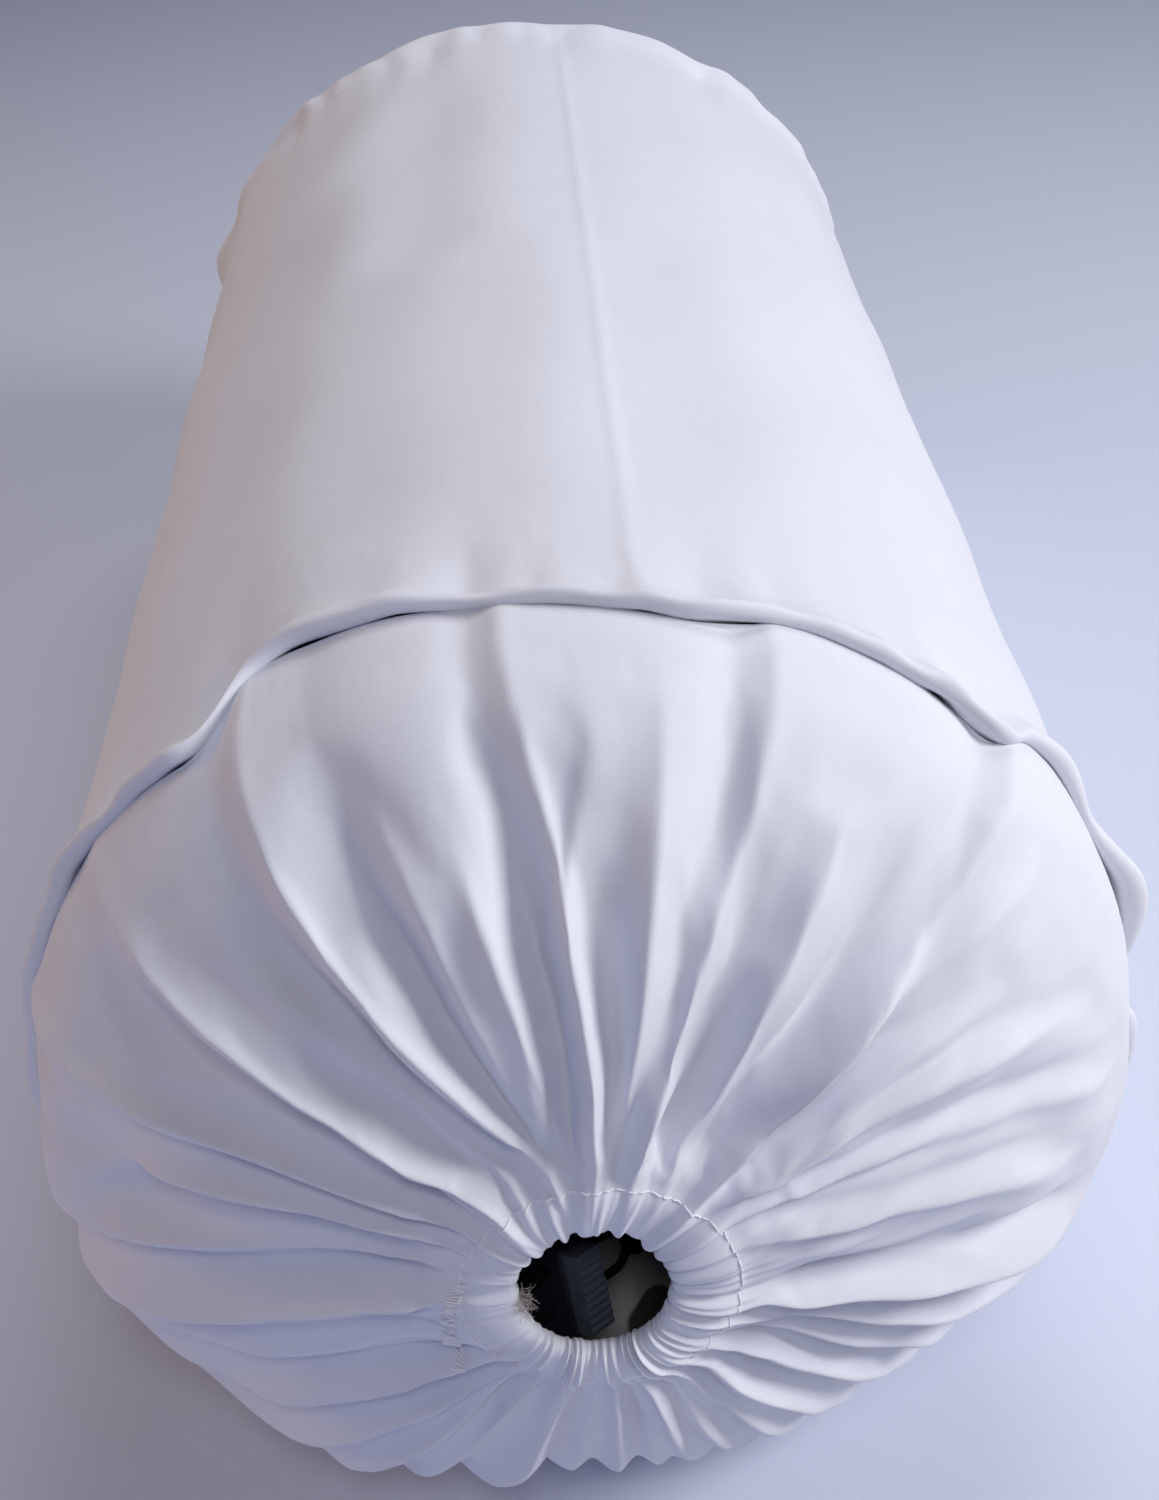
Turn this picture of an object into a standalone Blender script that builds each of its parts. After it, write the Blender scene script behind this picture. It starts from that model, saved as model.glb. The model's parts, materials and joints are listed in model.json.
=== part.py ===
"""A bolster pillow with a removable drawstring cover.

A cotton cover (tube panel, two end panels and two casings) holds an inner pillow (tube, two ends and one soft
filling). Each casing is a strip folded round an elastic drawstring and sewn behind the inner edge of its end
panel, which the drawstring gathers to a small mouth. Both tails of the drawstring run through a spring cord
lock that sits in the dimple behind the mouth.

Metres, +Z up, +Y along the bolster. The front end faces -Y. The origin is under the middle of the bolster, on
the surface that it lies on.
"""

import math

import bmesh
import bpy
from mathutils import Matrix, Vector

# Bolster
HALF_WIDTH = 0.130
HALF_RISE = 0.1136  # above the axis
HALF_SAG = 0.120  # below the axis, before the floor flattens it
AXIS_Z = 0.1145
RIM_Y = 0.234  # middle of the bolster to the rim seam
BULGE = 0.078  # rim seam to the end's apex
DOME_RADIAL_POWER = 2.17
DOME_DEPTH_POWER = 1.54
SIDES = 32  # facets around the bolster

# Cloth layers, each as an inset from the outside
COVER_CLOTH = 0.0006
CASE_CLOTH = 0.0005
LAYER_GAP = 0.0004
COVER_END_INSET = COVER_CLOTH + LAYER_GAP
CASE_INSET = COVER_END_INSET
CASE_INSET_AT_RIM = 0.0022
CASE_END_INSET = CASE_INSET_AT_RIM + CASE_CLOTH + LAYER_GAP
FILLING_INSET = CASE_INSET + CASE_CLOTH + LAYER_GAP
FILLING_INSET_AT_RIM = CASE_END_INSET + CASE_CLOTH + LAYER_GAP

# Rim welt
WELT_RISE = 0.0055
WELT_START_Y = 0.205
WELT_EDGE_Y = 0.236
BODY_STATIONS = (0.236, 0.2285, 0.219, 0.205, 0.120, 0.040)  # half the cover's tube, rim to middle

# End panel: the edge sewn under the welt, its turn out of the seam, then the dome
PANEL_SEAM_Y = 0.2310
PANEL_TURN = ((0.2372, 0.80), (0.2378, 0.35))  # y, and the share of the welt's rise
PANEL_RADII = (0.988, 0.955, 0.90, 0.81, 0.69, 0.54, 0.39, 0.295)  # as shares of the half width
PANEL_EDGE_RADIUS = 0.0312

# Mouth and casing of an end panel
MOUTH_RADIUS = 0.018
LIP_ROUNDING = 0.0012
CASING_OUTER_RADIUS = 0.0300
CASING_FLANGE_RADII = (0.0350, 0.0304)  # the part sewn behind the panel's inner edge
CASING_FRONT_RADII = (0.0288, 0.0225)
CASING_LIP_Y = 0.3084
CASING_BACK_Y = 0.3064
CASING_CLOSING = 0.0011  # how far the back layer's outer edge comes up towards the flange
CASING_GAP_ANGLE = math.radians(216)  # where the casing's two ends stop short of each other
CASING_GAP_SIZE = (0.015, 0.0048, 0.0215)
CASING_GAP_Y = 0.3058  # the middle of the opening

# Inner pillow's end
CASE_SCALE = 0.965
CASE_DOME_GAP = 0.0030
FILLING_SCALE = 0.950
FILLING_DOME_GAP = 0.0058
INNER_RADII = (1.0, 0.94, 0.84, 0.72, 0.60, 0.50, 0.41, 0.32, 0.21, 0.08)  # rim to middle
DIMPLE_DEPTH = 0.052
DIMPLE_RADIUS = 0.38  # as a share of the half width
DIMPLE_POWER = 4

# Drawstring
CORD_RADIUS = 0.0011
CORD_RING_RADIUS = 0.0234
CORD_RING_Y = 0.3084
RING_START = math.radians(200)
RING_END = math.radians(-125)
TAIL_SPACING = 0.0090
TAIL_STRAIGHT_END = 0.0175
TURN_INTO_CASING = (Vector((-0.0193, -0.3042, 0.0948)), Vector((-0.0205, -0.3072, 0.0976)))
TURN_OUT_OF_CASING = Vector((-0.0216, -0.3062, 0.1052))
KNOT_DISTANCE = 0.0240
KNOT_RADIUS = 0.0038

# Cord lock. Its own axes are width, through (along the cords) and press (the button's way in is minus press)
LOCK_CENTRE = Vector((-0.0093, -0.2920, 0.0952))
LOCK_THROUGH = Vector((0.690, 0.691, -0.217))
LOCK_WIDTH = Vector((0.128, -0.411, -0.902))
HOUSING_WIDTH = 0.0206
HOUSING_THICKNESS = 0.0090
HOUSING_BOTTOM = -0.0105
HOUSING_TOP = 0.0063
HOUSING_WALL = 0.0007
HOUSING_FLOOR = 0.0012
HOUSING_ROUNDING = 0.0012
RUNNING_GAP = 0.0003
BUTTON_BOTTOM = -0.0033
BUTTON_TOP = 0.0105
BUTTON_TRAVEL = 0.0038
RIB_COUNT = 10
RIB_HEIGHT = 0.0005
CORD_HOLE_RADIUS = 0.0016
SPRING_RADIUS = 0.0024
SPRING_WIRE_RADIUS = 0.00025
SPRING_TURNS = 3.5

WHITE_COTTON = (0.78, 0.79, 0.84)
CASE_COTTON = (0.62, 0.61, 0.64)
FIBRE = (0.85, 0.84, 0.82)
BLACK_PLASTIC = (0.012, 0.013, 0.017)
BLACK_CORD = (0.015, 0.015, 0.018)
SPRING_STEEL = (0.55, 0.55, 0.57)

ENDS = {"front": Matrix.Identity(4), "rear": Matrix.Rotation(math.pi, 4, "Z")}


def clear_scene():
    for obj in list(bpy.data.objects):
        bpy.data.objects.remove(obj, do_unlink=True)


def make_collection(name):
    collection = bpy.data.collections.new(name)
    bpy.context.scene.collection.children.link(collection)
    return collection


def make_material(name, colour, roughness, metallic=0.0):
    material = bpy.data.materials.new(name)
    material.use_nodes = True
    shader = material.node_tree.nodes["Principled BSDF"]
    shader.inputs["Base Color"].default_value = (*colour, 1.0)
    shader.inputs["Roughness"].default_value = roughness
    shader.inputs["Metallic"].default_value = metallic
    return material


def add_object(name, data, collection, material=None, placing=None):
    obj = bpy.data.objects.new(name, data)
    collection.objects.link(obj)
    if placing is not None:
        obj.matrix_world = placing
    if material is not None:
        obj.data.materials.append(material)
    return obj


def smoothstep(value, low, high):
    t = min(max((value - low) / (high - low), 0.0), 1.0)
    return t * t * (3.0 - 2.0 * t)


def ring(y, inset, scale=1.0, flare=0.0):
    """One turn around the bolster at y: scaled, drawn in by inset, and flattened where it meets the floor."""
    points = []
    for i in range(SIDES):
        angle = 2 * math.pi * i / SIDES
        sine = math.sin(angle)
        lift = flare * smoothstep(sine, -0.95, -0.45)
        half_height = HALF_RISE if sine > 0 else HALF_SAG
        x = (HALF_WIDTH * scale - inset + lift) * math.cos(angle)
        z = AXIS_Z + (half_height * scale - inset + lift) * sine
        points.append(Vector((x, y, max(z, inset))))
    return points


def loft(name, rings, caps=()):
    """A skin over rings that run from -Y to +Y. Caps lists which ends, first or last, a fan closes."""
    mesh = bmesh.new()
    rows = [[mesh.verts.new(point) for point in points] for points in rings]
    for row, following in zip(rows, rows[1:]):
        for i in range(SIDES):
            j = (i + 1) % SIDES
            mesh.faces.new((row[i], following[i], following[j], row[j]))
    for cap in caps:
        row = rows[0] if cap == "first" else rows[-1][::-1]
        middle = mesh.verts.new(sum((vert.co for vert in row), Vector()) / SIDES)
        for i in range(SIDES):
            mesh.faces.new((row[i], row[(i + 1) % SIDES], middle))
    for face in mesh.faces:
        face.smooth = True
    data = bpy.data.meshes.new(name)
    mesh.to_mesh(data)
    mesh.free()
    return data


def thicken(obj, thickness):
    solidify = obj.modifiers.new("cloth", "SOLIDIFY")
    solidify.thickness = thickness
    solidify.offset = -1.0
    solidify.use_even_offset = True


def flare_at(y):
    return WELT_RISE * smoothstep(abs(y), WELT_START_Y, WELT_EDGE_Y)


def dome_depth(radius):
    """How far the cover's end stands out from the rim, at a radius from 0 to 1 of the half width."""
    inside = max(1.0 - radius**DOME_RADIAL_POWER, 0.0)
    return BULGE * inside ** (1.0 / DOME_DEPTH_POWER)


def dimple_depth(radius):
    return DIMPLE_DEPTH * math.exp(-((radius / DIMPLE_RADIUS) ** DIMPLE_POWER))


def build_cover_body(collection, material):
    stations = [-y for y in BODY_STATIONS] + list(BODY_STATIONS[::-1])
    rings = [ring(y, 0.0, flare=flare_at(y)) for y in stations]
    obj = add_object("cover_body", loft("cover_body", rings), collection, material)
    thicken(obj, COVER_CLOTH)


def dome_ring(radius, inset=0.0):
    """One turn of the cover's end, at a radius in metres and that far behind its surface."""
    share = radius / HALF_WIDTH
    return ring(-(RIM_Y + dome_depth(share) - inset), 0.0, scale=share)


def end_panel_rings():
    """From the edge sewn under the welt, over the dome, to the inner edge at the casing."""
    rings = [ring(-PANEL_SEAM_Y, COVER_END_INSET, flare=flare_at(PANEL_SEAM_Y))]
    rings += [ring(-y, COVER_END_INSET, flare=share * WELT_RISE) for y, share in PANEL_TURN]
    rings += [dome_ring(share * HALF_WIDTH) for share in PANEL_RADII]
    return rings + [dome_ring(PANEL_EDGE_RADIUS)]


def casing_rings():
    """From the flange behind the panel's edge, in to the mouth's lip, and back out round the drawstring."""
    rings = [dome_ring(radius, COVER_END_INSET) for radius in CASING_FLANGE_RADII]
    rings += [dome_ring(radius) for radius in CASING_FRONT_RADII]
    fold = (
        (MOUTH_RADIUS + LIP_ROUNDING, CASING_LIP_Y + 1.5 * LIP_ROUNDING),
        (MOUTH_RADIUS, CASING_LIP_Y),
        (MOUTH_RADIUS + LIP_ROUNDING, CASING_BACK_Y),
        (CASING_OUTER_RADIUS - 0.0020, CASING_BACK_Y),
        (CASING_OUTER_RADIUS, CASING_BACK_Y + CASING_CLOSING),
    )
    return rings + [ring(-y, 0.0, scale=radius / HALF_WIDTH) for radius, y in fold]


def casing_gap_cutter(end, placing, cutters):
    """Opens the back of the casing where the drawstring's two ends come out."""
    mesh = bmesh.new()
    bmesh.ops.create_cube(mesh, size=1.0)
    bmesh.ops.scale(mesh, vec=CASING_GAP_SIZE, verts=mesh.verts)
    data = bpy.data.meshes.new(f"{end}_casing_gap")
    mesh.to_mesh(data)
    mesh.free()
    height = AXIS_Z + CORD_RING_RADIUS * math.sin(CASING_GAP_ANGLE)
    across = CORD_RING_RADIUS * math.cos(CASING_GAP_ANGLE)
    centre = Vector((across, -CASING_GAP_Y, height))
    turned = Matrix.Translation(centre) @ Matrix.Rotation(-CASING_GAP_ANGLE, 4, "Y")
    cutter = add_object(f"{end}_casing_gap", data, cutters, placing=placing @ turned)
    cutter.hide_render = True
    cutter.display_type = "WIRE"
    return cutter


def cut(obj, cutter):
    boolean = obj.modifiers.new(cutter.name, "BOOLEAN")
    boolean.operation = "DIFFERENCE"
    boolean.solver = "EXACT"
    boolean.object = cutter


def build_cover_end(end, placing, collection, material):
    name = f"cover_{end}_end"
    obj = add_object(name, loft(name, end_panel_rings()[::-1]), collection, material, placing)
    thicken(obj, COVER_CLOTH)


def build_casing(end, placing, collection, cutters, material):
    name = f"{end}_casing"
    obj = add_object(name, loft(name, casing_rings()[::-1]), collection, material, placing)
    thicken(obj, COVER_CLOTH)
    cut(obj, casing_gap_cutter(end, placing, cutters))


def build_case_tube(collection, material):
    near_rim = [(0.2225, CASE_INSET_AT_RIM), (0.2120, CASE_INSET_AT_RIM), (0.1950, CASE_INSET)]
    half = near_rim + [(0.070, CASE_INSET)]
    stations = [(-y, inset) for y, inset in half] + half[::-1]
    rings = [ring(y, inset) for y, inset in stations]
    obj = add_object("case_tube", loft("case_tube", rings), collection, material)
    thicken(obj, CASE_CLOTH)


def inner_dome_rings(scale, gap, floor_inset):
    """The inner pillow's rounded end, with a dimple in the middle for the cord lock. Runs rim to middle."""
    rings = []
    for radius in INNER_RADII:
        y = RIM_Y + dome_depth(radius) - gap - dimple_depth(radius)
        points = ring(-y, 0.0, scale=radius * (1.0 - (1.0 - scale) * radius**3))
        for point in points:
            point.z = max(point.z, floor_inset)
        rings.append(points)
    return rings


def build_case_end(end, placing, collection, material):
    name = f"case_{end}_end"
    rings = [ring(-0.2160, CASE_END_INSET), ring(-0.2245, CASE_END_INSET)]
    rings += inner_dome_rings(CASE_SCALE, CASE_DOME_GAP, CASE_END_INSET)
    skin = loft(name, rings[::-1], caps=("first",))
    obj = add_object(name, skin, collection, material, placing)
    thicken(obj, CASE_CLOTH)


def build_filling(collection, material):
    front = inner_dome_rings(FILLING_SCALE, FILLING_DOME_GAP, FILLING_INSET_AT_RIM)[::-1]
    half = [(0.2225, FILLING_INSET_AT_RIM), (0.2110, FILLING_INSET_AT_RIM), (0.1940, FILLING_INSET)]
    middle = [ring(-y, inset) for y, inset in half] + [ring(y, inset) for y, inset in half[::-1]]
    back = [[Vector((p.x, -p.y, p.z)) for p in points] for points in front[::-1]]
    data = loft("filling", front + middle + back, caps=("first", "last"))
    add_object("filling", data, collection, material)


def lock_frame():
    """World placing of the front cord lock: X across it, Y along the cords, Z out through its button."""
    through = LOCK_THROUGH.normalized()
    width = (LOCK_WIDTH - LOCK_WIDTH.dot(through) * through).normalized()
    press = width.cross(through)
    return Matrix.Translation(LOCK_CENTRE) @ Matrix((width, through, press)).transposed().to_4x4()


def smooth_route(points, steps):
    """Catmull-Rom samples through the points."""
    padded = [2 * points[0] - points[1], *points, 2 * points[-1] - points[-2]]
    route = []
    for before, start, end, after in zip(padded, padded[1:], padded[2:], padded[3:]):
        for step in range(steps):
            t = step / steps
            route.append(
                0.5
                * (
                    2 * start
                    + (end - before) * t
                    + (2 * before - 5 * start + 4 * end - after) * t**2
                    + (3 * start - before - 3 * end + after) * t**3
                )
            )
    return route + [points[-1]]


def drawstring_route():
    """From the knot, one tail through the lock, round the casing, and back through the lock to the knot."""
    frame = lock_frame()
    side = TAIL_SPACING / 2
    lower = [frame @ Vector((side, y, 0)) for y in (TAIL_STRAIGHT_END, 0.009, 0.0, -0.0060)]
    upper = [frame @ Vector((-side, y, 0)) for y in (-0.0060, 0.0, 0.009, TAIL_STRAIGHT_END)]
    near = frame @ Vector((side * 0.45, KNOT_DISTANCE - 0.003, 0))
    far = frame @ Vector((-side * 0.45, KNOT_DISTANCE - 0.003, 0))
    count = 17
    angles = [RING_END + (RING_START - RING_END) * i / (count - 1) for i in range(count)]
    loop = [
        Vector((CORD_RING_RADIUS * math.cos(a), -CORD_RING_Y, AXIS_Z + CORD_RING_RADIUS * math.sin(a)))
        for a in angles
    ]
    return [near, *lower, *TURN_INTO_CASING, *loop, TURN_OUT_OF_CASING, *upper, far]


def wire(name, points, radius, collection, resolution=2):
    """A round wire along the points, as a mesh with its caps welded on."""
    curve = bpy.data.curves.new(name, "CURVE")
    curve.dimensions = "3D"
    curve.bevel_depth = radius
    curve.bevel_resolution = resolution
    curve.use_fill_caps = True
    spline = curve.splines.new("POLY")
    spline.points.add(len(points) - 1)
    for target, point in zip(spline.points, points):
        target.co = (*point, 1.0)
    guide = add_object(f"{name}_guide", curve, collection)
    graph = bpy.context.evaluated_depsgraph_get()
    data = bpy.data.meshes.new_from_object(guide.evaluated_get(graph))
    data.name = name
    bpy.data.objects.remove(guide, do_unlink=True)
    mesh = bmesh.new()
    mesh.from_mesh(data)
    bmesh.ops.remove_doubles(mesh, verts=mesh.verts, dist=0.000005)
    bmesh.ops.recalc_face_normals(mesh, faces=mesh.faces)
    mesh.to_mesh(data)
    mesh.free()
    return data


def build_drawstring(end, placing, collection, cutters, material):
    """The cord, with the knot that ties its two ends joined on."""
    name = f"{end}_drawstring"
    route = smooth_route(drawstring_route(), 3)
    obj = add_object(name, wire(name, route, CORD_RADIUS, collection), collection, material, placing)
    mesh = bmesh.new()
    bmesh.ops.create_uvsphere(mesh, u_segments=14, v_segments=9, radius=KNOT_RADIUS)
    bmesh.ops.scale(mesh, vec=(1.15, 0.9, 0.9), verts=mesh.verts)
    data = bpy.data.meshes.new(f"{end}_knot")
    mesh.to_mesh(data)
    mesh.free()
    centre = Matrix.Translation(Vector((0, KNOT_DISTANCE, 0)))
    knot = add_object(f"{end}_knot", data, cutters, placing=placing @ lock_frame() @ centre)
    knot.hide_render = True
    knot.display_type = "WIRE"
    union = obj.modifiers.new("knot", "BOOLEAN")
    union.operation = "UNION"
    union.solver = "EXACT"
    union.object = knot


def box_mesh(name, low, high, rounding, segments=2, only_along_y=False):
    """A box from low to high with rounded edges, all of them or only those that run along Y."""
    low, high = Vector(low), Vector(high)
    mesh = bmesh.new()
    bmesh.ops.create_cube(mesh, size=1.0)
    bmesh.ops.scale(mesh, vec=high - low, verts=mesh.verts)
    bmesh.ops.translate(mesh, vec=(low + high) / 2, verts=mesh.verts)
    edges = mesh.edges[:]
    if only_along_y:
        edges = [e for e in edges if abs((e.verts[0].co - e.verts[1].co).y) > (high - low).y / 2]
    if rounding:
        bmesh.ops.bevel(mesh, geom=edges, offset=rounding, segments=segments, affect="EDGES", profile=0.5)
    data = bpy.data.meshes.new(name)
    mesh.to_mesh(data)
    mesh.free()
    return data


def add_cutter(name, data, parent, cutters):
    cutter = add_object(name, data, cutters)
    cutter.parent = parent
    cutter.hide_render = True
    cutter.display_type = "WIRE"
    return cutter


def cord_slots(obj, name, low, high, parent, cutters):
    """Two slots along Y for the cords, from low to high along Z."""
    for side, label in ((-1, "a"), (1, "b")):
        x = side * TAIL_SPACING / 2
        data = box_mesh(
            f"{name}_{label}",
            (x - CORD_HOLE_RADIUS, -HOUSING_THICKNESS, low),
            (x + CORD_HOLE_RADIUS, HOUSING_THICKNESS, high),
            CORD_HOLE_RADIUS * 0.98,
            segments=4,
            only_along_y=True,
        )
        cut(obj, add_cutter(f"{name}_{label}", data, parent, cutters))


def build_housing(end, frame, collection, cutters, material):
    name = f"{end}_lock_housing"
    half_width, half_thickness = HOUSING_WIDTH / 2, HOUSING_THICKNESS / 2
    data = box_mesh(
        name,
        (-half_width, -half_thickness, HOUSING_BOTTOM),
        (half_width, half_thickness, HOUSING_TOP),
        HOUSING_ROUNDING,
    )
    obj = add_object(name, data, collection, material)
    obj.parent = frame
    cavity = box_mesh(
        f"{name}_cavity",
        (HOUSING_WALL - half_width, HOUSING_WALL - half_thickness, HOUSING_BOTTOM + HOUSING_FLOOR),
        (half_width - HOUSING_WALL, half_thickness - HOUSING_WALL, HOUSING_TOP + 0.002),
        0.0,
    )
    cut(obj, add_cutter(f"{name}_cavity", cavity, frame, cutters))
    cord_slots(obj, f"{name}_hole", -CORD_HOLE_RADIUS, CORD_HOLE_RADIUS, frame, cutters)


def button_outline():
    """The button from its broad side: straight sides, a flat bottom and a ribbed top."""
    half = HOUSING_WIDTH / 2 - HOUSING_WALL - RUNNING_GAP
    points = [(-half, BUTTON_BOTTOM), (half, BUTTON_BOTTOM)]
    pitch = 2 * half / RIB_COUNT
    crest = BUTTON_TOP - RIB_HEIGHT
    for rib in range(RIB_COUNT):
        start = half - rib * pitch
        for share in (0.0, 0.20, 0.38, 0.62, 0.80):
            rise = RIB_HEIGHT * math.sin(math.pi * min(max((share - 0.1) / 0.8, 0.0), 1.0))
            points.append((start - share * pitch, crest + rise))
    points.append((-half, crest))
    return points


def build_button(end, frame, collection, cutters, material):
    name = f"{end}_lock_button"
    outline = button_outline()
    thickness = HOUSING_THICKNESS - 2 * (HOUSING_WALL + RUNNING_GAP)
    mesh = bmesh.new()
    front = mesh.faces.new([mesh.verts.new((x, -thickness / 2, z)) for x, z in outline])
    made = bmesh.ops.extrude_face_region(mesh, geom=[front])
    moved = [item for item in made["geom"] if isinstance(item, bmesh.types.BMVert)]
    bmesh.ops.translate(mesh, vec=(0, thickness, 0), verts=moved)
    bmesh.ops.recalc_face_normals(mesh, faces=mesh.faces)
    data = bpy.data.meshes.new(name)
    mesh.to_mesh(data)
    mesh.free()
    obj = add_object(name, data, collection, material)
    obj.parent = frame
    high = CORD_HOLE_RADIUS + BUTTON_TRAVEL
    cord_slots(obj, f"{name}_slot", -CORD_HOLE_RADIUS, high, frame, cutters)


def build_spring(end, frame, collection, material):
    name = f"{end}_lock_spring"
    low = HOUSING_BOTTOM + HOUSING_FLOOR + RUNNING_GAP + SPRING_WIRE_RADIUS
    high = BUTTON_BOTTOM - RUNNING_GAP - SPRING_WIRE_RADIUS
    count = int(SPRING_TURNS * 10)
    points = []
    for i in range(count + 1):
        angle = 2 * math.pi * SPRING_TURNS * i / count
        x, y = SPRING_RADIUS * math.cos(angle), SPRING_RADIUS * math.sin(angle)
        points.append(Vector((x, y, low + (high - low) * i / count)))
    obj = add_object(name, wire(name, points, SPRING_WIRE_RADIUS, collection), collection, material)
    obj.parent = frame


def build_cord_lock(end, placing, collection, cutters, plastic, button_plastic, steel):
    frame = bpy.data.objects.new(f"{end}_lock_axis", None)
    collection.objects.link(frame)
    frame.matrix_world = placing @ lock_frame()
    build_housing(end, frame, collection, cutters, plastic)
    build_button(end, frame, collection, cutters, button_plastic)
    build_spring(end, frame, collection, steel)


def main():
    clear_scene()
    pillow = make_collection("bolster_pillow")
    cutters = make_collection("cutters")
    build_cover_body(pillow, make_material("cover_body_cotton", WHITE_COTTON, 0.85))
    build_case_tube(pillow, make_material("case_tube_cotton", CASE_COTTON, 0.9))
    build_filling(pillow, make_material("filling_fibre", FIBRE, 0.95))
    for end, placing in ENDS.items():
        build_cover_end(end, placing, pillow, make_material(f"cover_{end}_cotton", WHITE_COTTON, 0.85))
        build_casing(
            end, placing, pillow, cutters, make_material(f"{end}_casing_cotton", WHITE_COTTON, 0.85)
        )
        build_case_end(end, placing, pillow, make_material(f"case_{end}_cotton", CASE_COTTON, 0.9))
        build_drawstring(end, placing, pillow, cutters, make_material(f"{end}_cord", BLACK_CORD, 0.8))
        build_cord_lock(
            end,
            placing,
            pillow,
            cutters,
            make_material(f"{end}_housing_plastic", BLACK_PLASTIC, 0.4),
            make_material(f"{end}_button_plastic", BLACK_PLASTIC, 0.35),
            make_material(f"{end}_spring_steel", SPRING_STEEL, 0.3, metallic=1.0),
        )


main()
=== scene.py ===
"""Looks of the bolster pillow: gathered cotton cover, inner pillow, cord locks, camera, floor and light.

The cover's end panels and body are laid out on grids around the bolster and settled by a cloth
simulation. Angles run around the bolster, 0 at +X and 90 degrees up. Pieces of the front end are
turned half round the vertical for the rear end.
"""

import json
import math

import bpy
import numpy as np
from mathutils import Matrix, Vector

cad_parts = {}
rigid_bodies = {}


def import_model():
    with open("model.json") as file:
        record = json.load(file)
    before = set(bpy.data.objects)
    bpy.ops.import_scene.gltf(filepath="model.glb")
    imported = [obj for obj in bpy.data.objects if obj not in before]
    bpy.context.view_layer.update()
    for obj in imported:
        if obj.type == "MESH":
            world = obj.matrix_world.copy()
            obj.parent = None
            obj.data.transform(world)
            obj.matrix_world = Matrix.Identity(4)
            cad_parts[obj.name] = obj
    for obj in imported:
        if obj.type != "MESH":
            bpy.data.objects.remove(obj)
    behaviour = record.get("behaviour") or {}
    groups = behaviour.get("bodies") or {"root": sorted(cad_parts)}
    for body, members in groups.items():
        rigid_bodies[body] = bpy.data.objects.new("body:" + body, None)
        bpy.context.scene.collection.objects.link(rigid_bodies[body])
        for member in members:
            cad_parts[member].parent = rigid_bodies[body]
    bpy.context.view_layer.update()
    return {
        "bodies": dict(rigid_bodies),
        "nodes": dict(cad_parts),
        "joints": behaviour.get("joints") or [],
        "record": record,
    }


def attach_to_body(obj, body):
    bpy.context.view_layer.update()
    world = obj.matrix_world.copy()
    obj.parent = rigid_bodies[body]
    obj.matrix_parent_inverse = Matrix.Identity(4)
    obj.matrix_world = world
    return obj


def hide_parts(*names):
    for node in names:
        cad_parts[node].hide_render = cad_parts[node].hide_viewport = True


# Bolster, as in the CAD model
HALF_WIDTH = 0.130
HALF_RISE = 0.1136
HALF_SAG = 0.120
AXIS_Z = 0.1145
RIM_Y = 0.234
BULGE = 0.078
DOME_RADIAL_POWER = 2.17
DOME_DEPTH_POWER = 1.54
BODY_EDGE_Y = 0.236
CASE_SCALE = 0.965
CASE_DOME_GAP = 0.0030
FILLING_SCALE = 0.950
FILLING_DOME_GAP = 0.0058
DIMPLE_DEPTH = 0.052
DIMPLE_RADIUS = 0.38
DIMPLE_POWER = 4

# Cover's cloth
COLUMNS = 400  # grid columns around the bolster
MOUTH_SHARE = 0.140  # where the end panel starts to roll in, as a share of the half width
LIP_ROLL = (  # radius and y of the roll at the mouth, front to back
    (0.0172, 0.3108),
    (0.0167, 0.3100),
    (0.0165, 0.3088),
    (0.0167, 0.3077),
    (0.0173, 0.3068),
    (0.0186, 0.3064),
    (0.0206, 0.3063),
)
CASING_STRIP = (  # radius, y, and the share of the pleats, from the lip to the stitches
    (0.0172, 0.3082, 0.1),
    (0.0174, 0.3072, 0.3),
    (0.0186, 0.3066, 1.0),
    (0.0215, 0.3065, 1.0),
    (0.0250, 0.3065, 1.0),
    (0.0278, 0.3067, 1.0),
    (0.0294, 0.3075, 0.6),
    (0.0302, 0.3086, 0.3),
)
LIP_TAPER = (0.72, 0.52, 0.36, 0.25, 0.18, 0.12, 0.08)  # the share of the folds that each ring keeps
PANEL_ENTRY = (  # under the welt: distance behind the edge, rise, and the share of the folds
    (0.0040, -0.0030, 0.0),
    (0.0020, -0.0014, 0.1),
    (0.0004, -0.0004, 0.3),
)
WELT_PROFILE = (  # distance behind the edge, rise above the bolster
    (0.0030, -0.0018),
    (0.0012, -0.0008),
    (0.0, 0.0002),
    (-0.0007, 0.0012),
    (-0.0009, 0.0024),
    (-0.0005, 0.0035),
    (0.0005, 0.0042),
    (0.0020, 0.0042),
    (0.0040, 0.0035),
    (0.0062, 0.0026),
    (0.0090, 0.0016),
    (0.0125, 0.0008),
    (0.0170, 0.0003),
    (0.0230, 0.0),
)
SHIFT_SHARES = {"front": 1.0, "rear": 0.25}  # the rear seam runs straighter
SEAM_SHIFT = (  # angle, and how far the rim seam is drawn back towards the middle there
    (-20, 0.0),
    (8, 0.004),
    (28, 0.018),
    (36, 0.017),
    (43, -0.001),
    (53, 0.007),
    (66, 0.013),
    (77, 0.008),
    (91, 0.015),
    (105, 0.021),
    (118, 0.024),
    (123, 0.019),
    (127, 0.002),
    (138, 0.005),
    (149, 0.009),
    (165, 0.003),
    (185, 0.0),
)
SHIFT_FADE = 0.120
WELT_SHARES = {"front": 1.0, "rear": 0.7}  # the rear welt lies a little flatter
WELT_WAVE = 0.22  # how unevenly the welt stands up
WELT_SWAY = 0.0012
RIM_PUCKER = 0.0007
BODY_WAVES = 0.0010
BODY_FOLDS = 0.0007
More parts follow.
